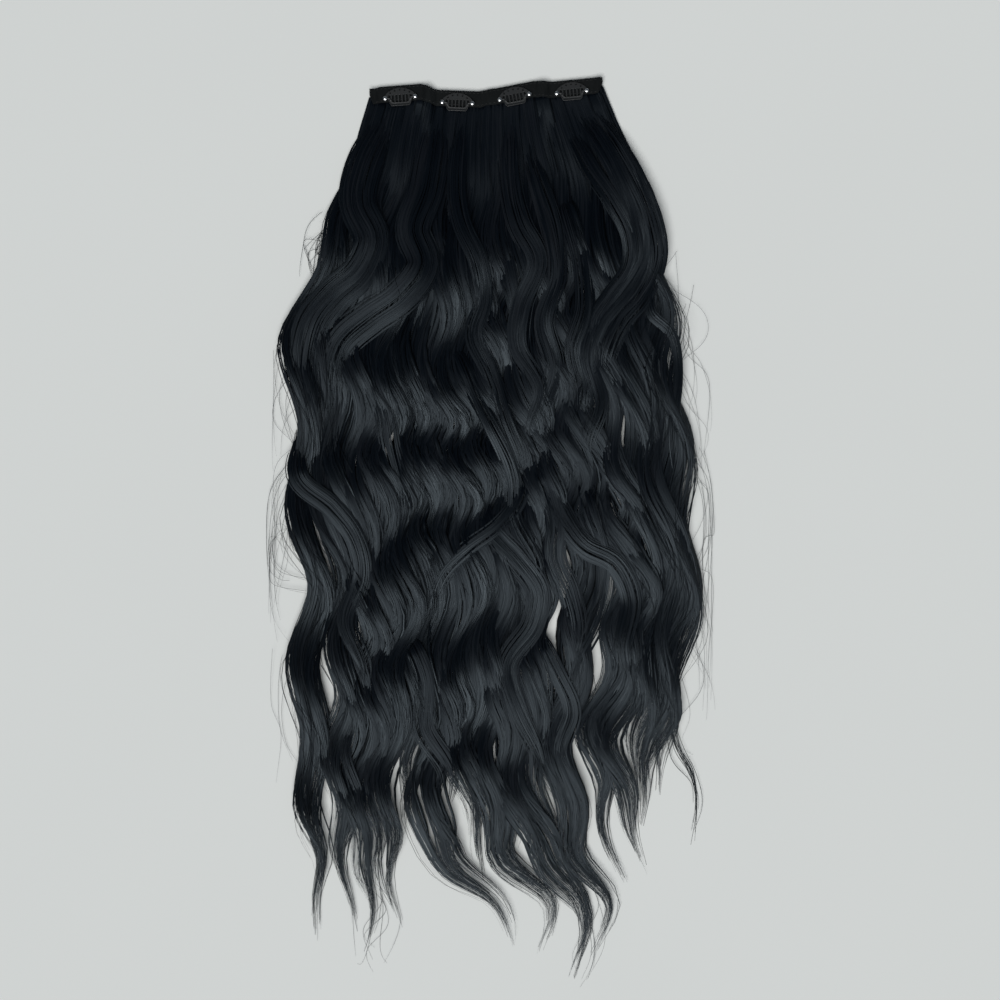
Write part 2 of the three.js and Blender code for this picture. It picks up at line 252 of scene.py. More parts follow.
print("camera, floor and studio light")
studioSettings = {  # metres
    "viewCentre": (0.0115, -0.3308),
    "viewHeight": 1.7,
    "viewWidth": 0.82,
    "viewFar": 20,
    "sensorWidth": 36,  # millimetres
    "floorSize": 6.0,
    "floorGrid": 24,
    "floorColor": (0.80, 0.825, 0.815),
    "floorShade": 0.96,
    "lightTilt": (24, -8),
    "lightSpread": 44,
    "lightStrength": 2.6,
    "lightColor": (1.0, 0.99, 0.975),
    "skyColor": (0.66, 0.83, 1.0, 1),
    "skyStrength": 0.07,
}


def floorFinish():
    # a pale matt table top with faint clouds
    finish = Finish("pale table top", 0.75)
    finish.paint("Specular IOR Level", 0.2)
    pale = studioSettings["floorColor"]
    shade = [studioSettings["floorShade"] * c for c in pale]
    finish.paint("Base Color", finish.ramp(finish.noise(finish.place(), scale=2.5), [(0, pale), (1, shade)]))
    return finish.material


def setStage():
    # the camera straight above, the floor, one wide soft light and the light of the room
    s = studioSettings
    scene = bpy.context.scene
    cameraData = bpy.data.cameras.new("camera")
    cameraData.sensor_width = s["sensorWidth"]
    cameraData.lens = s["sensorWidth"] * s["viewHeight"] / s["viewWidth"]
    cameraData.clip_end = s["viewFar"]
    scene.camera = addObject("camera", cameraData)
    scene.camera.location = (*s["viewCentre"], s["viewHeight"])
    deselectAll()
    grid = s["floorGrid"]
    bpy.ops.mesh.primitive_grid_add(x_subdivisions=grid, y_subdivisions=grid, size=s["floorSize"])
    floor = bpy.context.object
    floor.name = "floor"
    floor.data.materials.append(floorFinish())
    lightData = bpy.data.lights.new("studio light", "SUN")
    lightData.energy = s["lightStrength"]
    lightData.angle = radians(s["lightSpread"])
    lightData.color = s["lightColor"]
    light = addObject("studio light", lightData)
    light.location = (0, -1, 2)
    light.rotation_euler = (radians(s["lightTilt"][0]), radians(s["lightTilt"][1]), 0)
    sky = bpy.data.worlds.new("soft room light")
    sky.use_nodes = True
    background = sky.node_tree.nodes["Background"]
    background.inputs["Color"].default_value = s["skyColor"]
    background.inputs["Strength"].default_value = s["skyStrength"]
    scene.world = sky
    scene.view_settings.view_transform = "Standard"


setStage()

# The line that the weft's top edge follows, with its ribbon and clips.
weftSettings = {
    "width": 184,
    "headHeight": 8,
    "headThickness": 3,
    "ribbonHeight": 13,
    "ribbonThickness": 1.1,
    "ribbonMargin": 1,
    "cornerLength": 3.2,
    "cornerHeight": 5,
    "rippleHeight": 3,
    "seatGap": 0.3,
    "clipEndMargin": 7.5,
    "clipFlatMargin": 1.2,
    "clipLength": 28.8,
    "rivetDrop": 10.3,
    "leftRise": 0.03,
    "leftLift": 0.3,
    "rightRise": 0.76,
    "rightLift": 0.45,
    "spanSteps": 25,  # between two clips
    "endSteps": 12,
}
# Each clip: rise of the ribbon and ripple after it in shares, turn in degrees.
clipRows = [
    {"rise": 0.25, "turn": 4.4, "ripple": 1},
    {"rise": -0.08, "turn": -2.3, "ripple": 0},
    {"rise": 0.29, "turn": 11, "ripple": 0.85},
    {"rise": 0.6, "turn": 5.5, "ripple": 0},
]
headTop = weftSettings["headHeight"] / 2
ribbonEdge = headTop + weftSettings["ribbonMargin"]
ribbonBottom = weftSettings["headThickness"] + weftSettings["seatGap"]
ribbonTop = ribbonBottom + weftSettings["ribbonThickness"]


def clipCentre(index):
    s = weftSettings
    pitch = (s["width"] - 2 * s["clipEndMargin"] - s["clipLength"]) / (len(clipRows) - 1)
    return -s["width"] / 2 + s["clipEndMargin"] + s["clipLength"] / 2 + index * pitch


def clipPlace(index):
    # where a clip stands, as a matrix in metres
    row = clipRows[index]
    y = row["rise"] * weftSettings["ribbonHeight"] + ribbonEdge - weftSettings["rivetDrop"]
    turn = Matrix.Rotation(radians(row["turn"]), 4, "Z")
    return Matrix.Translation((clipCentre(index) * mm, y * mm, 0)) @ turn


def weftLine():
    # the top edge of the weft as dense rows of x, rise and lift
    s = weftSettings
    half = s["width"] / 2
    flat = s["clipLength"] / 2 + s["clipFlatMargin"]
    xs, rises, lifts = [-half], [s["leftRise"] * s["ribbonHeight"]], [s["leftLift"] * s["rippleHeight"]]
    for index, row in enumerate(clipRows):
        middle = clipCentre(index)
        slope = tan(radians(row["turn"])) * flat
        start = row["rise"] * s["ribbonHeight"] - slope
        end = row["rise"] * s["ribbonHeight"] + slope
        height = clipRows[index - 1]["ripple"] * s["rippleHeight"] if index else 0
        before = (xs[-1], rises[-1], lifts[-1])
        for step in range(1, s["spanSteps"]):
            t = step / s["spanSteps"]
            soft = float(ease(t, 0, 1))
            xs.append(blend(before[0], middle - flat, t))
            rises.append(blend(before[1], start, soft))
            lifts.append(before[2] * (1 - soft) + height * sin(pi * t) ** 2)
        xs += [middle - flat, middle + flat]
        rises += [start, end]
        lifts += [0, 0]
    before = (xs[-1], rises[-1])
    for step in range(1, s["endSteps"] + 1):
        t = step / s["endSteps"]
        xs.append(blend(before[0], half, t))
        rises.append(blend(before[1], s["rightRise"] * s["ribbonHeight"], t))
        lifts.append(float(ease(t, 0, 1)) * s["rightLift"] * s["rippleHeight"])
    return np.array(xs), np.array(rises), np.array(lifts)


weftX, weftRise, weftLift = weftLine()


def weftAt(x):
    return np.interp(x, weftX, weftRise), np.interp(x, weftX, weftLift)


hairSettings = {
    "seed": 26,
    "length": 730,
    "fanWidth": 336,
    "lockWidth": 29,
    "lockThickness": 9,
    "rootWidth": 14,
    "rootThickness": 1.4,
    "tipWidth": 5,
    "tipThickness": 1.8,
    "waveSway": 6,
    "waveLift": 6.4,
    "waveStep": 93,  # from crest to crest, above and below those of the table
    "firstCrests": (-61, 32),
    "tipLift": 0.4,
    "tapersFrom": 0.83,
    "slimsTo": 0.93,  # how slender a lock has become before its tip
    "slims": (0.64, 0.86),
    "opens": (0.01, 0.24),  # this and the next three are shares of the length, from the weft down
    "thickens": (0.03, 0.28),
    "leavesHead": (0.01, 0.08),
    "waves": (-0.05, 0.22),
    "rightCalm": 0.4,  # how much flatter the waves are at the right
    "calmAcross": (0.1, 0.22),
    "calmDown": (0.15, 0.25),
    "bandPhase": 0.05,
    "bandArch": 0.36,
    "wideLock": 0.8,  # a lock wider than this falls into three bands, another one into two
    "coreRise": -1.5,
    "coreWidth": 1.12,
    "aboveTable": 0.15,
}
lockLevels = {"shoulder": 0.13, "upper": 0.28, "middle": 0.43, "lower": 0.575, "hem": 0.725, "ends": 0.85,
              "fall": 0.91}
# The main locks, in thousandths: root of the weft's width, the places of fanWidth and reach of the
# length; then wide as a share and the depths below the weft, in millimetres, where its waves crest.
lockColumns = ("root", "shoulder", "upper", "middle", "lower", "hem", "ends", "fall", "tip", "reach", "wide",
               "crests")
lockRows = [
    (-465, -335, -435, -434, -413, -428, -403, -412, -413, 953, 0.75, (112, 224, 372, 492, 604)),
    (-400, -290, -380, -395, -343, -350, -351, None, -312, 945, 0.85, (102, 208, 356, 472, 564)),
    (-335, -245, -325, -325, -281, -295, -299, -263, -297, 967, 0.95, (140, 232, 326, 424, 500, 590)),
    (-270, -200, -265, -256, -218, -235, -250, None, -204, 942, 1, (144, 250, 316, 408, 492, 590)),
    (-205, -155, -205, -180, -150, -175, None, None, -201, 835, 1, (118, 236, 312, 376, 480, 575)),
    (-140, -110, -145, -110, -90, -115, -114, 38, 78, 973, 1, (120, 240, 300, 378, 484, 580)),
    (-75, -65, -85, -45, -30, -55, None, None, -3, 897, 0.95, (144, 244, 304, 376, 476, 556)),
    (-10, -20, -25, 20, 20, 0, 41, 156, 130, 972, 1, (148, 248, 300, 372, 468, 560)),
    (55, 30, 35, 90, 70, 60, 130, 244, 209, 1000, 1, (136, 200, 288, 364, 500, 590)),
    (120, 80, 95, 140, 120, 125, None, None, 208, 885, 0.95, (132, 256, 330, 404, 470, 600)),
    (180, 135, 155, 205, 235, 185, 224, 305, 250, 978, 0.85, (160, 230, 296, 364, 464, 564)),
    (240, 190, 210, 270, 348, 268, 303, None, 344, 893, 0.85, (130, 208, 286, 372, 460, 548)),
    (300, 240, 265, 330, 385, 310, None, None, 392, 882, 0.9, (152, 224, 324, 392, 472, 556)),
    (360, 290, 320, 380, 425, 365, None, None, 376, 800, 0.95, (144, 240, 356, 472, 566)),
    (415, 335, 370, 420, 455, 410, None, None, 376, 830, 0.85, (128, 228, 352, 488, 588)),
    (470, 370, 415, 463, 475, 435, None, None, 418, 790, 0.72, (144, 248, 368, 496, 590)),
]
locks = [dict(zip(lockColumns, row)) for row in lockRows]
# Locks that lie over the others: their places in thousandths across fanWidth and down the length,
# with the height there in millimetres above the locks below, then their width and strands.
overColumns = ("places", "wide", "strands")
overRows = [
    ([(-120, 25, 0), (-145, 110, 3), (-180, 157, 6), (-152, 197, 7.5), (-205, 232, 5), (-280, 256, 2.5),
      (-350, 285, 1.5), (-375, 330, 1), (-360, 380, 0)], 34, 100),
    ([(-240, 25, 0), (-295, 85, 2), (-310, 128, 4), (-276, 168, 6), (-305, 205, 4.5), (-370, 232, 2.5),
      (-420, 262, 1.5), (-440, 305, 1), (-420, 360, 1), (-405, 420, 0)], 34, 100),
    ([(-60, 25, 0), (-71, 100, 3), (-59, 150, 5.5), (-20, 193, 7), (-5, 236, 4), (-27, 275, 2),
      (10, 318, 4), (46, 369, 6), (83, 419, 2), (59, 470, 0)], 17, 44),
    ([(55, 25, 0), (63, 100, 3), (83, 150, 5.5), (124, 193, 7), (88, 242, 3.5), (78, 287, 2), (132, 335, 5),
      (107, 386, 2), (151, 436, 0)], 22, 56),
    ([(260, 25, 2), (315, 65, 7), (365, 105, 9), (400, 150, 7), (408, 195, 5), (375, 232, 3),
      (325, 260, 1.5), (285, 300, 1.5), (300, 350, 0)], 15, 50),
    ([(235, 25, 2), (286, 62, 8), (330, 100, 10.5), (368, 142, 8.6), (378, 188, 6.4), (335, 228, 4),
      (280, 260, 2), (250, 300, 2), (278, 350, 3), (248, 400, 1), (285, 450, 0)], 19, 64),
    ([(200, 40, 1), (250, 85, 7), (305, 125, 9), (345, 165, 7.2), (345, 200, 5.2), (300, 232, 3.2),
      (262, 262, 1.6), (272, 300, 1), (240, 345, 2), (270, 400, 0)], 16, 50),
    ([(100, 60, 1), (140, 120, 3.5), (165, 165, 5), (172, 210, 5), (140, 260, 4), (165, 310, 3.5),
      (140, 360, 2), (165, 410, 0)], 20, 50),
    ([(180, 100, 0), (210, 155, 3.5), (232, 200, 4.5), (238, 245, 4), (210, 290, 3.5), (235, 340, 2),
      (215, 390, 0)], 17, 40),
    ([(300, 35, 3), (345, 80, 8), (385, 110, 7), (413, 150, 4), (420, 198, 2), (395, 226, 1), (400, 250, 2),
      (450, 272, 2), (468, 310, 1), (450, 390, 2), (475, 460, 0)], 10, 26),
    ([(-280, 310, 0), (-250, 355, 1.5), (-235, 400, 1.5), (-205, 450, 1), (-200, 500, 0)], 18, 30),
    ([(-100, 268, 2), (-39, 330, 5), (15, 380, 7), (63, 434, 4), (71, 481, 2), (120, 532, 3), (102, 582, 1),
      (144, 633, 0)], 12, 28),
    ([(-454, 380, 2), (-454, 433, 5), (-368, 467, 6), (-315, 500, 4), (-300, 543, 2), (-332, 594, 3),
      (-295, 644, 4), (-303, 695, 0)], 18, 40),
    ([(100, 420, 0), (78, 460, 2.5), (30, 489, 3.6), (-40, 513, 3.2), (-105, 543, 1.6), (-135, 590, 0)], 13,
      32),
    ([(120, 420, 0), (175, 470, 3), (235, 510, 4.5), (310, 530, 3.5), (350, 571, 2), (332, 627, 3),
      (366, 683, 0)], 20, 40),
    ([(100, 400, 0), (150, 445, 2.5), (175, 485, 3), (172, 525, 1.5), (205, 562, 1.5), (225, 610, 2),
      (190, 660, 0)], 20, 40),
    ([(230, 420, 0), (262, 470, 2.5), (288, 515, 2), (288, 560, 1), (264, 600, 1), (218, 640, 1.5),
      (200, 680, 1.5), (210, 710, 0)], 16, 30),
    ([(-15, 440, 0), (15, 487, 2.5), (83, 524, 4.5), (132, 560, 4), (120, 599, 2), (59, 644, 1),
      (83, 695, 3), (132, 740, 2), (168, 796, 0)], 26, 56),
    ([(-198, 600, 0), (-150, 655, 1.8), (-149, 712, 2), (-88, 762, 1), (-100, 813, 0)], 20, 38),
    ([(120, 600, 0.5), (175, 652, 2.2), (210, 695, 2), (186, 740, 1), (229, 785, 0)], 18, 34),
]
overLocks = [dict(zip(overColumns, row)) for row in overRows]
# Stray curls past the edges: places as above with the height over the table, how far they
# scatter in millimetres, how many there are and how thick.
strayColumns = ("places", "scatter", "strands", "thick")
strayRows = [
    ([(-370, 380, 9), (-500, 430, 5), (-538, 500, 3), (-520, 570, 3), (-470, 627, 4)], 6, 10, 0.22),
    ([(-420, 560, 6), (-505, 535, 4), (-535, 505, 3), (-500, 483, 4), (-440, 510, 6)], 6, 7, 0.22),
    ([(-320, 127, 6), (-405, 162, 4), (-430, 178, 3), (-410, 217, 3), (-365, 234, 6)], 3, 9, 0.4),
    ([(-340, 145, 6), (-395, 170, 4), (-375, 195, 4), (-400, 225, 4), (-380, 250, 5)], 3, 6, 0.5),
    ([(-430, 600, 6), (-485, 650, 3), (-475, 720, 2), (-440, 780, 2), (-460, 830, 1)], 7, 8, 0.22),
    ([(-400, 250, 8), (-470, 290, 4), (-505, 350, 3), (-470, 420, 4), (-440, 470, 6)], 7, 8, 0.22),
    ([(405, 180, 6), (454, 234, 4), (444, 285, 3), (498, 346, 3), (520, 403, 3), (480, 450, 5)], 8, 12,
      0.22),
    ([(460, 370, 5), (535, 430, 3), (560, 480, 3), (530, 550, 2), (550, 620, 2), (520, 690, 1)], 8, 10,
      0.22),
    ([(450, 520, 5), (520, 570, 3), (500, 630, 3), (530, 700, 2), (500, 740, 1)], 8, 8, 0.22),
    ([(440, 670, 6), (466, 736, 4), (505, 768, 3), (522, 796, 2), (505, 841, 1)], 1.6, 10, 0.55),
    ([(200, 850, 3), (260, 920, 2), (250, 970, 1), (235, 1010, 0.6)], 5, 6, 0.24),
    ([(-280, 870, 3), (-260, 920, 2), (-290, 960, 1), (-270, 985, 0.6)], 6, 7, 0.22),
]
strays = [dict(zip(strayColumns, row)) for row in strayRows]
# Slow wandering down the hair, as wavelengths with their shares.
wanderWaves = {
    "band": ((340, 0.7), (170, 0.3)),
    "curl": ((120, 1.0),),
    "slip": ((420, 1.0),),
    "rise": ((260, 0.6),),
    "stray": ((260, 0.6), (120, 0.4)),
    "frizz": ((48, 0.6), (27, 0.4)),
    "flutter": ((74, 0.6), (41, 0.4)),
}
lineSteps = 400
evenAlong = np.linspace(0, 1, lineSteps + 1)


def placesOf(row):
    # a row's places in millimetres
    s = hairSettings
    return [(x / 1000 * s["fanWidth"], headTop - y / 1000 * s["length"], z) for x, y, z in row["places"]]


def smoothLine(points):
    # a smooth line through points, as evenly spaced places
    points = np.array(points, float)
    points = np.vstack([2 * points[0] - points[1], points, 2 * points[-1] - points[-2]])
    dense = []
    for i in range(1, len(points) - 2):
        p0, p1, p2, p3 = points[i - 1:i + 3]
        d0, d1, d2 = [np.sum((b - a) ** 2) ** 0.25 for a, b in ((p0, p1), (p1, p2), (p2, p3))]
        m1 = ((p1 - p0) / d0 - (p2 - p0) / (d0 + d1) + (p2 - p1) / d1) * d1
        m2 = ((p2 - p1) / d1 - (p3 - p1) / (d1 + d2) + (p3 - p2) / d2) * d1
        t = np.linspace(0, 1, 40, endpoint=False)[:, None]
        second, third = 3 * (p2 - p1) - 2 * m1 - m2, 2 * (p1 - p2) + m1 + m2
        dense.append(p1 + m1 * t + second * t ** 2 + third * t ** 3)
    return evenPath(np.vstack(dense + [points[-2:-1]]), lineSteps + 1)


def evenPath(points, steps):
    # a line through points, at even steps
    gone = np.concatenate([[0], np.cumsum(np.linalg.norm(np.diff(points, axis=0), axis=1))])
    even = np.linspace(0, gone[-1], steps)
    return np.column_stack([np.interp(even, gone, points[:, k]) for k in range(points.shape[1])])


def acrossLine(line):
    # the level direction across a line at each of its places
    tangent = np.gradient(line, axis=0)
    tangent /= np.linalg.norm(tangent, axis=1)[:, None]
    return np.column_stack([-tangent[:, 1], tangent[:, 0]])


def softNoise(rng, rows, depth, name):
    # one of the ways of wandering: a sum of sines of its own for each row
    total = np.zeros((rows, depth.shape[-1]))
    for wave, share in wanderWaves[name]:
        start = rng.uniform(0, 1, (rows, 1))
        pace = rng.uniform(0.75, 1.3, (rows, 1))
        total += share * np.sin(2 * pi * (depth / wave * pace + start))
    return total


def lockGuide(rng, lock):
    # a main lock at even steps along its line, and the bands of strands that it falls into
    s = hairSettings
    rootX = lock["root"] / 1000 * weftSettings["width"]
    rootRise = float(weftAt(rootX)[0])
    places = [(lock[level] / 1000, down) for level, down in lockLevels.items() if lock[level] is not None]
    places.append((lock["tip"] / 1000, lock["reach"] / 1000))
    points = [(across * s["fanWidth"], headTop - down * s["length"]) for across, down in places]
    line = smoothLine([(rootX, rootRise)] + points)
    depth = rootRise - line[:, 1]
    down = depth / s["length"]
    opened = ease(down, *s["opens"])
    thick = ease(down, *s["thickens"])
    taper = ease(evenAlong, s["tapersFrom"], 1)
    slim = blend(1, s["slimsTo"], ease(evenAlong, *s["slims"]))
    width = blend(blend(s["rootWidth"], lock["wide"] * s["lockWidth"], opened), s["tipWidth"], taper)
    halfTall = blend(blend(s["rootThickness"], s["lockThickness"], thick), s["tipThickness"], taper) / 2
    inHead = 1 - ease(down, *s["leavesHead"])
    atRight = ease(line[:, 0] / s["fanWidth"], *s["calmAcross"])
    calm = 1 - s["rightCalm"] * atRight * ease(down, *s["calmDown"])
    last = lock["crests"][-1]
    crests = (*s["firstCrests"], *lock["crests"], last + s["waveStep"], last + 2 * s["waveStep"])
    guide = {
        "line": line,
        "across": acrossLine(line),
        "depth": depth,
        "inHead": inHead,
        "opened": opened,
        "taper": taper,
        "halfWidth": width / 2 * slim,
        "halfTall": halfTall,
        "turn": np.interp(depth, crests, np.arange(len(crests)) - 1.0),
        "lift": s["waveLift"] * ease(down, *s["waves"]) * blend(1, s["tipLift"], taper) * calm,
        "sway": s["waveSway"] * opened * (1 - taper),
        "floor": blend(halfTall, weftSettings["headThickness"] / 2, inHead),
        "arch": s["bandArch"],
        "dome": np.zeros(lineSteps + 1),
    }
    return addBands(rng, guide, 3 if lock["wide"] > s["wideLock"] else 2, 1, s["bandPhase"])


bandSettings = {
    "spread": 0.95, "scatter": 0.08, "wander": 0.26, "curl": 2.5, "curls": (0.7, 0.95),
    "overlap": 1.25, "width": (0.85, 1.2), "gain": (0.8, 1.2), "rise": 1.5, "end": (0.96, 1.0),
    "slant": 0.06,
    "gather": 0.55,  # how close the bands have come at the tip
    "settles": 0.6,  # how far their rise has gone at the tip
    "tint": (0.5, 0.1),  # middle and scatter
}


def addBands(rng, guide, count, loose, phase):
    # each band's own place, width, height and waves; loose is how far it leaves its lock
    s = bandSettings
    depth = guide["depth"][None, :]
    opened, taper, halfWidth = guide["opened"], guide["taper"], guide["halfWidth"]
    middle = np.linspace(-1, 1, 2 * count + 1)[1::2, None] * s["spread"]
    middle = middle + rng.normal(0, s["scatter"], (count, 1))
    wander = softNoise(rng, count, depth, "band") * s["wander"] * loose * opened
    curl = softNoise(rng, count, depth, "curl") * s["curl"] * loose * ease(evenAlong, *s["curls"])
    guide["bandPlace"] = (middle * blend(1, s["gather"], taper) + wander) * halfWidth + curl
    guide["bandHalf"] = halfWidth * (s["overlap"] / count) * rng.uniform(*s["width"], (count, 1))
    turn = guide["turn"] + rng.normal(0, phase, (count, 1))
    guide["bandTurn"] = turn + softNoise(rng, count, depth, "slip") * phase
    guide["bandGain"] = rng.uniform(*s["gain"], (count, 1)) * np.ones_like(depth)
    rise = rng.uniform(-1, 1, (count, 1)) + softNoise(rng, count, depth, "rise")
    guide["bandRise"] = rise * s["rise"] * loose * opened * (1 - s["settles"] * taper)
    guide["bandEnd"] = rng.uniform(*s["end"], count)
    guide["bandEnd"][rng.integers(count)] = 1.0
    guide["bandTint"] = rng.normal(*s["tint"], count)
    guide["slant"] = rng.normal(0, s["slant"])
    return guide


def wholeGuide(guide):
    # the same lock as one plain band that fills its width, for what lies below the bands
    even = np.ones((1, lineSteps + 1))
    return dict(
        guide,
        bandPlace=0 * even,
        bandHalf=guide["halfWidth"] * hairSettings["coreWidth"] * even,
        bandTurn=guide["turn"] * even,
        bandGain=even,
        bandRise=hairSettings["coreRise"] * guide["opened"] * even,
        bandEnd=np.array([1.0]),
        bandTint=np.array([0.4]),
    )


overSettings = {  # levels in thousandths of the hair's length, as in the table
    "rises": (0, 0.14),  # where along its line it comes up out of the hair
    "returns": (0.84, 1),
    "narrows": (0.8, 1),
    "tapersFrom": 0.75,
    "headLevel": 80,  # a lock that starts above this level comes out of the weft's head
    "headSink": 4,
    "headWidth": 0.75,
    "hairSink": 9,
    "hairWidth": 0.45,
    "freeLevel": 600,  # a lock that ends below this level ends free
    "freeEnd": 0.4,
    "hairEnd": 0.85,
    "endSink": 8,
    "endWidth": 0.75,
    "gather": 2.5,  # its width over its half width, narrower than the table says
    "bodyShare": 0.8,
    "widthSink": 0.06,
    "opened": 0.7,
    "halfTall": 1.2,
    "waveLift": 1.6,
    "waveSway": 0.6,
    "dome": 0.36,
    "moreBands": (16, 26),  # widths from which it has a band more
    "bandLoose": 0.3,
    "bandPhase": 0.1,
}


def overGuide(rng, row):
    # an overlying lock: its places already hold its sway and its height
    s, o = hairSettings, overSettings
    even = np.ones(lineSteps + 1)
    line = smoothLine(placesOf(row))
    depth = -line[:, 1]
    thick = ease(depth / s["length"], *s["thickens"])
    leaves = 1 - ease(evenAlong, *o["rises"])
    returns = ease(evenAlong, *o["returns"])
    start = "head" if row["places"][0][1] < o["headLevel"] else "hair"
    end = "free" if row["places"][-1][1] > o["freeLevel"] else "hair"
    sink = leaves * o[start + "Sink"] + returns * o["endSink"]
    halfWidth = row["wide"] / o["gather"] * blend(1, o[start + "Width"], leaves)
    halfWidth = halfWidth * blend(1, o["endWidth"], returns)
    base = s["lockThickness"] * thick * o["bodyShare"] + weftSettings["headThickness"]
    guide = {
        "line": line[:, :2],
        "across": acrossLine(line[:, :2]),
        "depth": depth,
        "inHead": 0 * even,
        "opened": o["opened"] * even,
        "taper": ease(evenAlong, o["tapersFrom"], 1),
        "halfWidth": halfWidth * blend(1, o[end + "End"], ease(evenAlong, *o["narrows"])),
        "halfTall": o["halfTall"] * even,
        "turn": depth / s["waveStep"],
        "lift": o["waveLift"] * ((1 - leaves) * (1 - returns)),
        "sway": o["waveSway"] * even,
        "floor": base + line[:, 2] - sink - o["widthSink"] * row["wide"],
        "arch": s["bandArch"],
        "dome": o["dome"] * halfWidth,
    }
    bands = 1 + sum(row["wide"] >= width for width in o["moreBands"])
    return addBands(rng, guide, bands, o["bandLoose"], o["bandPhase"])


def sample(table, at, row=None):
    # a guide's column at shares along it, of one row for each strand where it has rows
    place = at * lineSteps
    low = np.clip(place.astype(int), 0, lineSteps - 1)
    share = place - low
    if row is None:
        first, second = table[low], table[low + 1]
    else:
        first, second = table[row[:, None], low], table[row[:, None], low + 1]
    if first.ndim > share.ndim:
        share = share[..., None]
    return first * (1 - share) + second * share


tubeSettings = {"aboveTable": 0.12, "mapRound": 0.35, "mapAlong": 100, "sharpFrom": 75}


def sectionAxes(centre, roll):
    # across and up for each section of each strand, rolled about it
    tangent = np.gradient(centre, axis=1)
    tangent /= np.linalg.norm(tangent, axis=2)[..., None] + 1e-9
    side = np.stack([-tangent[..., 1], tangent[..., 0], np.zeros(tangent.shape[:2])], axis=-1)
    side /= np.linalg.norm(side, axis=2)[..., None] + 1e-9
    up = np.cross(tangent, side)
    flip = np.where(up[..., 2:3] < 0, -1.0, 1.0)
    side, up = side * flip, up * flip
    c, s = np.cos(roll)[..., None], np.sin(roll)[..., None]
    return side * c + up * s, up * c - side * s


def tubeMesh(name, centre, roll, halfWide, halfTall, sides, tint, finish, uvShift):
    # many closed flattened tubes as one mesh, from arrays of sections
    t = tubeSettings
    count, steps = centre.shape[:2]
    side, up = sectionAxes(centre, roll)
    angles = (2 * pi * np.arange(sides) / sides + pi / 2)[:, None]
    across = np.cos(angles) * halfWide[:, :, None, None]
    upward = np.sin(angles) * halfTall[:, :, None, None]
    ring = centre[:, :, None] + side[:, :, None] * across + up[:, :, None] * upward
    ring[..., 2] = np.maximum(ring[..., 2], t["aboveTable"])
    points = ring.reshape(-1, 3) * mm
    base = (np.arange(count) * steps * sides)[:, None, None]
    low = base + (np.arange(steps - 1) * sides)[None, :, None]
    turn = np.arange(sides)[None, None, :]
    following = (turn + 1) % sides
    quads = np.stack([low + turn, low + following, low + sides + following, low + sides + turn], axis=-1)
    startCaps = base[:, 0] + np.arange(sides)[None, ::-1]
    endCaps = base[:, 0] + np.arange(sides)[None, :] + (steps - 1) * sides
    mesh = bpy.data.meshes.new(name)
    loops = np.concatenate([quads.ravel(), startCaps.ravel(), endCaps.ravel()]).astype(np.int32)
    mesh.vertices.add(len(points))
    mesh.vertices.foreach_set("co", points.astype(np.float32).ravel())
    mesh.loops.add(len(loops))
    mesh.loops.foreach_set("vertex_index", loops)
    sizes = np.concatenate([np.full(quads.size // 4, 4), np.full(2 * count, sides)])
    mesh.polygons.add(len(sizes))
    mesh.polygons.foreach_set("loop_start", (np.cumsum(sizes) - sizes).astype(np.int32))
    mesh.update(calc_edges=True)
    mesh.polygons.foreach_set("use_smooth", np.ones(len(sizes), bool))
    # the map: round the strand and along it, shifted for each strand
    shift = uvShift[:, None, None, None]
    corners = (turn[..., None] + np.array([0, 1, 1, 0])) / sides
    u = corners * (halfWide[:, :-1, None, None] * t["mapRound"]) + shift
    stretches = np.linalg.norm(np.diff(centre, axis=1), axis=2)
    gone = np.concatenate([np.zeros((count, 1)), np.cumsum(stretches, axis=1)], axis=1) / t["mapAlong"]
    ends = np.stack([gone[:, :-1], gone[:, :-1], gone[:, 1:], gone[:, 1:]], axis=-1)
    quadMap = np.stack(np.broadcast_arrays(u, ends[:, :, None] + shift), axis=-1).reshape(-1, 2)
    capMap = np.repeat(uvShift, sides)[:, None] * np.ones((1, 2))
    strandMap = mesh.uv_layers.new(name="strandMap")
    strandMap.data.foreach_set("uv", np.concatenate([quadMap, capMap, capMap]).astype(np.float32).ravel())
    shade = mesh.attributes.new("tint", "FLOAT", "POINT")
    shade.data.foreach_set("value", np.repeat(tint, steps * sides).astype(np.float32))
    mesh.materials.append(finish)
    mesh.validate()
    if sides == 3:
        mesh.set_sharp_from_angle(angle=radians(t["sharpFrom"]))
    return addObject(name, mesh)


strandSettings = {
    "domeReach": 1.1, "rootWidth": 0.6, "rootEnds": 0.15, "tipWidth": 0.75, "coreRoot": 0.95,
    "groupTint": 0.13, "strandTint": 0.15,
    "strandPhase": 0.3,  # of its group's
    "headFlat": 0.75,  # how much the waves and heights are pressed flat in the weft's head
}


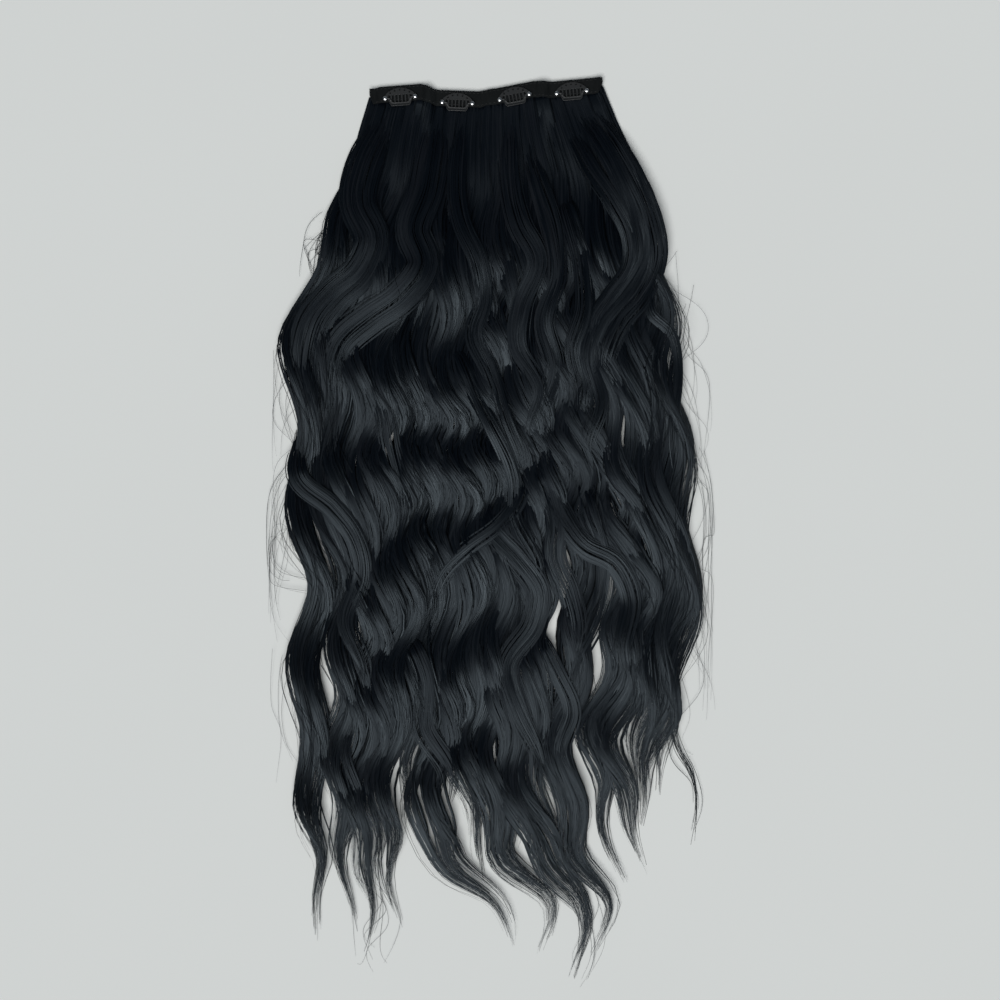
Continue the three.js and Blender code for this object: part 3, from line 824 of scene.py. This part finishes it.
def strandsOf(rng, guide, spec, count):
    # centre lines, sizes and tints of a lock's strands, which run in small groups inside its bands
    s = strandSettings
    steps = spec["steps"]
    bands = len(guide["bandPlace"])
    groups = max(bands, round(count / spec["group"]))
    member = np.sort(rng.integers(groups, size=count))
    band = (np.arange(groups) % bands)[member]
    start = rng.uniform(*spec["start"], (count, 1))
    end = guide["bandEnd"][band][:, None] * rng.uniform(*spec["end"], (groups, 1))[member]
    end = end - rng.uniform(0, spec["ragged"], (count, 1)) ** 2
    share = np.linspace(0, 1, steps)[None, :]
    at = start + (np.minimum(end, 1) - start) * share

    def along(column):
        # a column of the guide at each section, of the strand's own band where it has bands
        return sample(guide[column], at, band if column.startswith("band") else None)

    depth, opened, inHead, halfTall = along("depth"), along("opened"), along("inHead"), along("halfTall")
    bandHalf = along("bandHalf")
    slots = -(-groups // bands)
    slot = (np.arange(groups)[:, None] // bands + rng.uniform(0, 1, (groups, 1))) / slots * 2 - 1
    place = slot[member] + rng.normal(0, spec["close"], (count, 1))
    place = np.clip(place, -1, 1) + softNoise(rng, count, depth, "stray") * spec["stray"] * opened
    spread = blend(min(spec["spread"], 1), spec["spread"], opened)
    offset = along("bandPlace") + place * bandHalf * spread
    turn = along("bandTurn") + rng.normal(0, spec["phase"], (groups, 1))[member]
    turn = turn + guide["slant"] * offset / along("halfWidth")
    turn = turn + rng.normal(0, spec["phase"] * s["strandPhase"], (count, 1))
    swayGain = rng.uniform(*spec["sway"], (groups, 1))[member]
    frizz = softNoise(rng, count, depth, "frizz") * spec["frizz"] * opened
    crown = np.sqrt(np.clip(1 - place ** 2, 0.02, 1))
    centre = np.zeros((count, steps, 3))
    centre[..., :2] = along("line") + along("across") * offset[..., None]
    centre[..., 0] += along("sway") * swayGain * np.sin(2 * pi * turn) + frizz
    lift = along("lift") * along("bandGain") * (1 + np.cos(2 * pi * turn)) / 2
    level = rng.uniform(*spec["level"], (groups, 1))[member] * halfTall
    level = level + rng.normal(0, spec["layer"], (count, 1))
    centre[..., 2] = along("floor") + (lift + level) * (1 - s["headFlat"] * inHead)
    centre[..., 2] += along("bandRise") + guide["arch"] * bandHalf * crown * opened
    centre[..., 2] += softNoise(rng, count, depth, "flutter") * spec["flutter"] * opened
    reach = along("halfWidth") * s["domeReach"]
    centre[..., 2] += along("dome") * np.sqrt(np.clip(1 - (offset / reach) ** 2, 0, 1))
    centre[..., 2] += weftAt(centre[..., 0])[1] * inHead
    width = rng.uniform(*spec["width"], (count, 1))
    tip = blend(1, spec["point"], ease(share, 1 - spec["thins"], 1))
    profile = blend(s["rootWidth"], 1, ease(share, 0, s["rootEnds"])) * tip
    halfWide = width / 2 * profile * blend(1, s["tipWidth"], along("taper"))
    halfThick = halfWide * spec["flat"]
    if "fills" in spec:  # as wide and tall as the lock, by a share, and wider at the root
        halfWide = along("halfWidth") * blend(s["coreRoot"], spec["fills"], opened) * tip
        halfThick = halfTall * spec["fills"] * tip
    centre[..., 2] = np.maximum(centre[..., 2], halfThick + hairSettings["aboveTable"])
    roll = -place * spec["roll"] * opened
    tint = guide["bandTint"][band] + rng.normal(0, s["groupTint"], groups)[member]
    tint = tint + rng.normal(0, s["strandTint"], count)
    return centre, roll, halfWide, halfThick, np.clip(tint, 0, 1)


triangleCount = 0


def showHair(name, centre, roll, halfWide, halfThick, sides, tint, rng):
    # one mesh from many strands
    global triangleCount
    uvShift = rng.uniform(0, 40, len(centre))
    piece = tubeMesh(name, centre, roll, halfWide, halfThick, sides, tint, hairPaint, uvShift)
    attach(piece, "weft")
    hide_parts("hair")
    triangles = sum(len(p.vertices) - 2 for p in piece.data.polygons)
    triangleCount += triangles
    print(name, len(centre), "strands,", triangles, "triangles,", triangleCount, "so far")


def hairPiece(name, rng, specs):
    parts = [strandsOf(rng, guide, spec, count) for guide, spec, count in specs]
    centre, roll, halfWide, halfThick, tint = [np.concatenate([part[k] for part in parts]) for k in range(5)]
    showHair(name, centre, roll, halfWide, halfThick, specs[0][1]["sides"], tint, rng)


straySettings = {
    "steps": 44, "scatter": (0.5, 2.2), "heightScatter": 0.6, "starts": (0, 0.25), "ends": (0.6, 1),
    "bendsFrom": 160,  # past this distance from the middle a stray turns back, within its side's room
    "leftRoom": 20, "rightRoom": 29, "thickness": (0.8, 1.3), "thinEnd": 0.4, "tint": (0.3, 0.8),
}


def strayPiece(name, rng, rows):
    # single hairs and thin curls that left the locks
    s = straySettings
    share = np.linspace(0, 1, s["steps"])
    centres, widths = [], []
    for row in [row for row in rows for _ in range(row["strands"])]:
        points = np.array(placesOf(row))
        scatter = row["scatter"] * rng.uniform(*s["scatter"])
        points = points + rng.normal(0, 1, (len(points), 3)) * (scatter, scatter, s["heightScatter"])
        points[:, :2] += rng.normal(0, row["scatter"], 2)
        at = np.linspace(rng.uniform(*s["starts"]), rng.uniform(*s["ends"]), s["steps"])
        centre = sample(smoothLine(points), at)
        past = np.maximum(np.abs(centre[:, 0]) - s["bendsFrom"], 0)
        room = np.where(centre[:, 0] < 0, s["leftRoom"], s["rightRoom"])
        centre[:, 0] -= np.sign(centre[:, 0]) * (past - room * np.tanh(past / room))
        centre[:, 2] = np.maximum(centre[:, 2], row["thick"] / 2 + hairSettings["aboveTable"])
        centres.append(centre)
        thick = row["thick"] * rng.uniform(*s["thickness"])
        widths.append(thick * blend(1, s["thinEnd"], ease(share, 0.6, 1)))
    half = np.array(widths) / 2
    tint = rng.uniform(*s["tint"], len(half))
    showHair(name, np.array(centres), np.zeros(half.shape), half, half, 3, tint, rng)


print("hair: cores, clumps and strands")
topSpec = dict(steps=62, sides=3, group=4, start=(0, 0.01), end=(0.93, 1.0), ragged=0.2, close=0.16,
               spread=1.0, stray=0.1, phase=0.018, sway=(0.85, 1.35), frizz=0.1, level=(0.45, 0.8),
               layer=0.16, width=(0.55, 1.6), point=0.12, thins=0.2, roll=0.5, flat=0.2, flutter=0.15)
clumpSpec = dict(topSpec, steps=56, sides=4, group=1, start=(0, 0), end=(0.95, 1.0), ragged=0, close=0.02,
                 spread=0.9, stray=0, phase=0.03, sway=(0.9, 1.1), frizz=0, level=(-0.7, 0.3), layer=0.1,
                 width=(2.6, 4.2), point=0.06, thins=0.3, flat=0.24, flutter=0)
coreSpec = dict(clumpSpec, steps=60, sides=8, end=(0.92, 0.92), close=0, spread=0, phase=0.001, sway=(1, 1),
                level=(-0.9, -0.9), layer=0, width=(1, 1), point=0.1, roll=0.0, flat=1, fills=0.6)
looseSpec = dict(topSpec, group=2, end=(0.85, 1.0), spread=1.7, stray=0.4, phase=0.08, sway=(0.8, 2.0),
                 frizz=0.5, level=(0.4, 1.3), width=(0.3, 0.55), point=0.3, roll=0.2, flat=0.8)
overSpec = dict(topSpec, steps=44, start=(0, 0.1), end=(0.88, 1.0), ragged=0.45, close=0.28, stray=0.28,
                phase=0.015, sway=(0.7, 1.3), level=(-0.5, 0.4), layer=0.2, width=(0.6, 1.6), flutter=0.45)
strandCounts = {"clumps": 11, "top": 102, "narrowTop": 0.75, "overShare": 0.8, "loose": 6, "looseEdge": 14}

rng = np.random.default_rng(hairSettings["seed"])
guides = [lockGuide(rng, lock) for lock in locks]
overGuides = [overGuide(rng, row) for row in overLocks]
hairPiece("hair_cores", rng, [(wholeGuide(guide), coreSpec, 1) for guide in guides])
hairPiece("hair_clumps", rng, [(wholeGuide(guide), clumpSpec, strandCounts["clumps"]) for guide in guides])
for number in range(1, 5):
    specs = []
    for k in range(4 * number - 4, 4 * number):
        share = blend(strandCounts["narrowTop"], 1, (locks[k]["wide"] - 0.7) / 0.3)
        specs.append((guides[k], topSpec, int(strandCounts["top"] * share)))
    hairPiece(f"hair_strands_{number}", rng, specs)
overParts = [(guide, overSpec, int(row["strands"] * strandCounts["overShare"]))
             for guide, row in zip(overGuides, overLocks)]
hairPiece("hair_over_locks_1", rng, overParts[:9])
hairPiece("hair_over_locks_2", rng, overParts[9:])
looseParts = []
for k, guide in enumerate(guides):
    atEdge = k < 2 or k >= len(guides) - 2
    looseParts.append((guide, looseSpec, strandCounts["looseEdge" if atEdge else "loose"]))
hairPiece("hair_loose", rng, looseParts)
strayPiece("hair_strays", rng, strays)

print("weft head")
headSettings = {
    "alongSteps": 320, "roundSteps": 20, "halfHeight": 4, "bottom": 0.26, "top": 2.95,
    "squareness": 0.55, "ridge": 0.14, "ridgeWave": 2.1, "smoothAngle": 50, "mapScale": (350, 10),
}


def headPoints(rng):
    # a rounded band along the weft's line, ridged by its stitches
    s = headSettings
    half = weftSettings["width"] / 2
    x = np.linspace(-half, half, s["alongSteps"])
    rise, lift = weftAt(x)
    angles = 2 * pi * np.arange(s["roundSteps"]) / s["roundSteps"]
    across, tall = [np.sign(way) * np.abs(way) ** s["squareness"] for way in (np.cos(angles), np.sin(angles))]
    bumps = s["ridge"] * (rng.uniform(-1, 1, s["alongSteps"]) + 0.5 * np.sin(x * s["ridgeWave"]))
    halfTall = (s["top"] - s["bottom"]) / 2 + bumps
    y = rise[:, None] + across * s["halfHeight"]
    z = (lift + (s["top"] + s["bottom"]) / 2)[:, None] + tall * halfTall[:, None]
    return np.stack([np.broadcast_to(x[:, None], y.shape), y, z], axis=-1)


def closedLoft(name, points, finish):
    # a closed skin over rings of points
    rows, around = points.shape[:2]
    faces = []
    for i in range(rows - 1):
        for j in range(around):
            k = (j + 1) % around
            faces.append((i * around + j, (i + 1) * around + j, (i + 1) * around + k, i * around + k))
    faces.append(tuple(range(around)))
    faces.append(tuple((rows - 1) * around + j for j in reversed(range(around))))
    mesh = bpy.data.meshes.new(name)
    mesh.from_pydata((points.reshape(-1, 3) * mm).tolist(), [], faces)
    mesh.materials.append(finish)
    piece = addObject(name, mesh)
    makeActive(piece)
    toMode("EDIT")
    bpy.ops.mesh.select_all(action="SELECT")
    bpy.ops.mesh.normals_make_consistent(inside=False)
    toMode("OBJECT")
    bpy.ops.object.shade_smooth_by_angle(angle=radians(headSettings["smoothAngle"]))
    deselectAll()
    return piece


weftHead = closedLoft("weft_head", headPoints(rng), hairPaint)
headMap = weftHead.data.uv_layers.new(name="strandMap")
headCorners = np.zeros(len(weftHead.data.loops), np.int32)
weftHead.data.loops.foreach_get("vertex_index", headCorners)
headPlaces = pointsOf(weftHead.data)[headCorners][:, :2] * headSettings["mapScale"]
headMap.data.foreach_set("uv", headPlaces.astype(np.float32).ravel())
headTint = weftHead.data.attributes.new("tint", "FLOAT", "POINT")
headTint.data.foreach_set("value", np.full(len(weftHead.data.vertices), 0.5, np.float32))
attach(weftHead, "weft")
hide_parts("hair")

print("ribbon")
ribbonSettings = {
    "alongSteps": 300, "acrossSteps": 14, "wrinkle": 0.28, "edgeRoll": 0.18, "edgeFrom": 0.8,
    "hemWave": 0.35,
    "clipFlat": (14.4, 19),  # from a clip's middle, where its hold ends
    "seat": 0.08, "slack": 0.1, "bevel": 0.25, "bevelAngle": 30, "smoothAngle": 60,
}


def makeRibbon():
    # a wrinkled strip along the weft's line, flat under the clips, with its corners turned in
    s = weftSettings
    r = ribbonSettings
    deselectAll()
    bpy.ops.mesh.primitive_grid_add(x_subdivisions=r["alongSteps"], y_subdivisions=r["acrossSteps"], size=2)
    ribbon = bpy.context.object
    ribbon.name = "ribbon"
    ribbon.data.uv_layers[0].name = "ribbonMap"
    grid = pointsOf(ribbon.data)
    share = (1 - grid[:, 1]) / 2  # 0 at the top edge
    half = s["width"] / 2
    x = grid[:, 0] * (half + s["cornerLength"])
    rise, lift = weftAt(x)
    past = np.clip((np.abs(x) - half) / s["cornerLength"], 0, 1)
    height = blend(s["ribbonHeight"], s["cornerHeight"], past)
    away = np.abs([x - clipCentre(index) for index in range(len(clipRows))])
    flats = np.max(1 - ease(away, *r["clipFlat"]), axis=0)
    wrinkle = r["wrinkle"] * (np.sin(x * 0.9 + share * 3) + 0.6 * np.sin(x * 1.7 - share * 5)) * (1 - flats)
    wave = r["hemWave"] * np.sin(x * 0.55 + 1) * (1 - flats) * ease(share, 0.6, 1)
    rolled = r["edgeRoll"] * ease(np.abs(share - 0.5) * 2, r["edgeFrom"], 1) * (1 - flats * 0.5)
    y = rise + ribbonEdge - height * share + wave
    z = lift + ribbonTop - r["seat"] + wrinkle * 0.5 - rolled
    ribbon.data.vertices.foreach_set("co", (np.column_stack([x, y, z]) * mm).ravel())
    ribbon.data.update()
    makeActive(ribbon)
    solid = ribbon.modifiers.new("cloth", "SOLIDIFY")
    solid.thickness = (s["ribbonThickness"] - r["slack"]) * mm
    solid.offset = -1
    bpy.ops.object.modifier_apply(modifier=solid.name)
    breakAndSmooth(ribbon, r["bevel"], r["bevelAngle"], r["smoothAngle"])
    ribbon.data.materials.append(ribbonPaint)
    deselectAll()
    return ribbon


ribbon = makeRibbon()
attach(ribbon, "weft")
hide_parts("weft_tape")

print("stitches")
stitchSettings = {
    "long": 2.5, "pitch": 3.3, "radius": 0.2, "steps": 5, "sides": 5, "endMargin": 2, "sinks": 0.3,
    "ribbonRows": (1.6, 11.4),  # below the ribbon's top edge
    "ribbonHeight": 0.02,  # over the ribbon's face
    "headRows": (2.4, 5, 7.6),
    "headHeight": 0.33,  # over the table, behind the head
}


def threadPiece(name, paths):
    # short threads, thinner at both ends
    s = stitchSettings
    centre = np.array(paths)
    count, steps = centre.shape[:2]
    swell = 0.55 + 0.45 * np.sin(pi * np.linspace(0, 1, steps)) ** 0.6
    half = s["radius"] * swell * np.ones((count, 1))
    tint = np.full(count, 0.5)
    piece = tubeMesh(name, centre, 0 * half, half, half, s["sides"], tint, threadPaint, np.zeros(count))
    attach(piece, "weft")


def stitchRow(fromEdge, height, way):
    # paths of one row of stitches, arched up from the ribbon or down below the head
    s = stitchSettings
    half = weftSettings["width"] / 2 - s["endMargin"]
    arch = np.sin(pi * np.linspace(0, 1, s["steps"])) ** 0.5
    paths = []
    for x in np.arange(-half, half, s["pitch"]):
        xs = np.linspace(x, x + s["long"], s["steps"])
        rise, lift = weftAt(xs)
        z = lift + height + way * (arch - 1) * s["sinks"]
        paths.append(np.column_stack([xs, rise + ribbonEdge - fromEdge, z]))
    return paths


ribbonStitches, headStitches = [], []
for fromEdge in stitchSettings["ribbonRows"]:
    ribbonStitches += stitchRow(fromEdge, ribbonTop + stitchSettings["ribbonHeight"], 1)
for fromEdge in stitchSettings["headRows"]:
    headStitches += stitchRow(fromEdge, stitchSettings["headHeight"], -1)
threadPiece("ribbon_stitches", ribbonStitches)
threadPiece("head_stitches", headStitches)

threadSettings = {
    "archMiddle": -8.69,
    "holes": (59, 74.5, 90, 105.5, 121),
    "apart": 1.0,
    "steps": 12,
    # one loop from the hole over the comb's back, as distance from the arch's middle and height
    "loop": ((15.29, 5.1), (15.29, 5.8), (15.54, 6.12), (16.79, 6.14), (17.24, 5.95), (17.54, 5.2),
             (17.64, 4.4)),
}


def holdingThreads():
    # two turns of thread over the comb's back at each of its holes
    s = threadSettings
    paths = []
    for index in range(len(clipRows)):
        place = clipPlace(index)
        for degrees in [hole + way * s["apart"] for hole in s["holes"] for way in (-1, 1)]:
            angle = radians(degrees)
            spots = [(r * cos(angle), s["archMiddle"] + r * sin(angle), z) for r, z in s["loop"]]
            points = [place @ (Vector(spot) * mm) / mm for spot in spots]
            paths.append(evenPath(np.array(points, float), s["steps"]))
    return paths


threadPiece("clip_threads", holdingThreads())

print("snap clips")
clipSettings = {
    "combBevel": 0.14, "combAngle": 35, "bowBevel": 0.1, "bowAngle": 30, "bowSmooth": 35,
    "lipInset": 0.42, "lipWidth": 0.12, "lipDepth": 0.22, "pressedBelow": -1.0,
    "pressedArea": 2,  # square millimetres
    "rivetSpacing": 24.6, "weldWithin": 0.01,
}
rivetSettings = {
    # sides, radius, height and middle of the head, the shank and the tail
    "columns": ((32, 1.7, 0.3, 7.25), (24, 0.6, 2.15, 6.05), (28, 1.3, 0.3, 4.85)),
    "dome": ((0.22, 0.18), (0.36, 0.17), (0.45, 0.1), (0.35, 0.03)),  # inset and rise of each step
    "bevel": 0.06,
    "bevelAngle": 50,
    "smoothAngle": 45,
}


def dressComb(node):
    # the comb's own solid, with its edges broken and its finish
    weld = node.modifiers.new("weld", "WELD")
    weld.merge_threshold = clipSettings["weldWithin"] * mm
    breakEdges(node, clipSettings["combBevel"], clipSettings["combAngle"])
    node.data.materials.clear()
    node.data.materials.append(clipPaint)


def makeBow():
    # taken from the first bow, turned back to the middle, and pressed with a raised rim
    s = clipSettings
    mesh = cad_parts["clip_1_bow"].data.copy()
    mesh.transform(clipPlace(0).inverted())
    bow = addObject("bow", mesh)
    makeActive(bow)
    toMode("EDIT")
    bpy.ops.mesh.select_all(action="SELECT")
    bpy.ops.mesh.remove_doubles(threshold=s["weldWithin"] * mm)
    bpy.ops.mesh.dissolve_limited(angle_limit=radians(2))
    bpy.ops.mesh.select_all(action="SELECT")
    bpy.ops.mesh.bisect(plane_co=(0, s["pressedBelow"] * mm, 0), plane_no=(0, 1, 0))
    bpy.ops.mesh.select_all(action="DESELECT")
    toMode("OBJECT")
    for face in mesh.polygons:
        below = face.center.y < s["pressedBelow"] * mm
        face.select = face.normal.z > 0.9 and below and face.area > s["pressedArea"] * mm ** 2
    toMode("EDIT")
    bpy.ops.mesh.select_mode(type="FACE")
    bpy.ops.mesh.inset(thickness=s["lipInset"] * mm, depth=0)
    bpy.ops.mesh.inset(thickness=s["lipWidth"] * mm, depth=-s["lipDepth"] * mm)
    toMode("OBJECT")
    breakAndSmooth(bow, s["bowBevel"], s["bowAngle"], s["bowSmooth"])
    mesh.materials.clear()
    mesh.materials.append(clipPaint)
    deselectAll()
    return bow


def makeRivet():
    # head, shank and tail standing on the rivet's own axis, the head domed in steps
    s = rivetSettings
    parts = []
    for sides, radius, height, middle in s["columns"]:
        deselectAll()
        bpy.ops.mesh.primitive_cylinder_add(vertices=sides, radius=radius * mm, depth=height * mm,
                                            location=(0, 0, middle * mm))
        parts.append(bpy.context.object)
    head = parts[0]
    makeActive(head)
    toMode("EDIT")
    bpy.ops.mesh.select_mode(type="FACE")
    bpy.ops.mesh.select_all(action="DESELECT")
    toMode("OBJECT")
    for face in head.data.polygons:
        face.select = face.normal.z > 0.9
    toMode("EDIT")
    for inset, rise in s["dome"]:
        bpy.ops.mesh.inset(thickness=inset * mm, depth=rise * mm)
    toMode("OBJECT")
    for part in parts:
        part.select_set(True)
    bpy.ops.object.join()
    bpy.ops.object.transform_apply(location=True, rotation=True, scale=True)
    breakAndSmooth(head, s["bevel"], s["bevelAngle"], s["smoothAngle"])
    head.data.materials.append(rivetPaint)
    deselectAll()
    return head


def copyTo(source, name, place, body, node):
    mesh = source.data.copy()
    mesh.transform(place)
    piece = addObject(name, mesh)
    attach(piece, body)
    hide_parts(node)


bowModel = makeBow()
rivetModel = makeRivet()
for index in range(len(clipRows)):
    number = index + 1
    place = clipPlace(index)
    dressComb(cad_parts[f"clip_{number}_comb"])
    copyTo(bowModel, f"snap_bow_{number}", place, f"bow_{number}", f"clip_{number}_bow")
    for word, way in (("left", -1), ("right", 1)):
        spot = place @ Matrix.Translation((way * clipSettings["rivetSpacing"] / 2 * mm, 0, 0))
        node = f"clip_{number}_rivet_{word}"
        copyTo(rivetModel, f"rivet_{number}_{word}", spot, "weft", node)
bpy.data.objects.remove(bowModel)
bpy.data.objects.remove(rivetModel)
